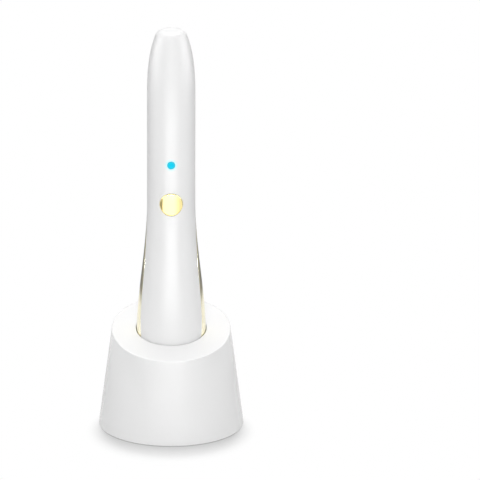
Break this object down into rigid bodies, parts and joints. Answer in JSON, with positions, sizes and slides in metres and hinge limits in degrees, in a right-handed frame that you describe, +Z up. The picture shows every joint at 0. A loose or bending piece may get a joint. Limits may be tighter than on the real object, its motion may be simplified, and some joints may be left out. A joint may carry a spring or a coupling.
{
  "type": "plasma skin care wand",
  "caption": "Slim hand-held plasma skin care wand with a raised ceramic window, gold button and side trims, standing in a tapered charging dock with a slanted top.",
  "frame": {"origin": "middle of the dock's footprint, on the surface it stands on", "axes": "+Z up along the wand, -Y towards the button side, +Y towards the plasma window and the power inlet"},
  "size_m": [0.0684, 0.0684, 0.1941],
  "materials": {
    "wand_white": "polished white moulding",
    "window_white": "polished white moulding",
    "gold_trim": "polished and gold anodised",
    "bezel_black": "piano black",
    "window_ceramic": "ground and polished white alumina",
    "gasket_silicone": "soft moulded silicone",
    "electrode_metal": "rolled sheet",
    "carrier_black": "moulded",
    "lead_insulation": "extruded silicone",
    "switch_body": "moulded",
    "light_cyan": "clear tinted light guide, lit",
    "led_chip": "moulded lamp package",
    "board_green": "solder mask over glass laminate",
    "chip_black": "moulded packages",
    "potting": "potted block",
    "cell_wrap": "shrink-wrapped can",
    "foam": "closed-cell foam",
    "chassis_plastic": "moulded",
    "screw_steel": "zinc plated",
    "contact_gold": "gold plated",
    "spring_steel": "drawn wire",
    "dock_white": "satin to polished white moulding",
    "base_plastic": "moulded",
    "foot_rubber": "soft moulded",
    "ballast_iron": "as cast",
    "inlet_steel": "drawn and nickel plated"
  },
  "bodies": {
    "dock": {"dock_shell": "dock_white", "well_cup": "dock_white", "base_plate": "base_plastic", "base_screws": "screw_steel", "foot_ring": "foot_rubber", "ballast_ring": "ballast_iron", "charge_board": "board_green", "charge_board_parts": "chip_black", "inlet_socket": "inlet_steel", "inlet_tongue": "carrier_black", "pin_block": "carrier_black", "pin_barrels": "contact_gold", "left_pin_spring": "spring_steel", "right_pin_spring": "spring_steel"},
    "wand": {"front_shell": "wand_white", "back_shell": "wand_white", "left_side_trim": "gold_trim", "right_side_trim": "gold_trim", "window_frame": "window_white", "window_bezel": "bezel_black", "window_gasket": "gasket_silicone", "ceramic_plate": "window_ceramic", "electrode_plate": "electrode_metal", "electrode_carrier": "carrier_black", "high_voltage_lead": "lead_insulation", "tact_switch": "switch_body", "light_lens": "light_cyan", "status_led": "led_chip", "main_board": "board_green", "board_parts": "chip_black", "power_module": "potting", "battery_cell": "cell_wrap", "battery_foams": "foam", "chassis": "chassis_plastic", "chassis_screws": "screw_steel", "contact_pads": "contact_gold", "charge_leads": "lead_insulation"},
    "button": {"button_cap": "gold_trim", "switch_plunger": "switch_body"},
    "left_pin": {"left_charging_pin": "contact_gold"},
    "right_pin": {"right_charging_pin": "contact_gold"}
  },
  "joints": [
    {"name": "wand_lift", "type": "slide", "parent": "dock", "child": "wand", "axis": [0, 0, 1], "range_m": [0, 0.06]},
    {"name": "button_press", "type": "slide", "parent": "wand", "child": "button", "axis": [0, 1, 0], "range_m": [0, 0.0005], "stiffness_N_per_m": 2000, "springref_m": -0.0004},
    {"name": "left_pin_slide", "type": "slide", "parent": "dock", "child": "left_pin", "axis": [0, 0, 1], "range_m": [-0.0006, 0], "stiffness_N_per_m": 300, "springref_m": 0.0008, "deforming": ["left_pin_spring"]},
    {"name": "right_pin_slide", "type": "slide", "parent": "dock", "child": "right_pin", "axis": [0, 0, 1], "range_m": [-0.0006, 0], "stiffness_N_per_m": 300, "springref_m": 0.0008, "deforming": ["right_pin_spring"]}
  ]
}
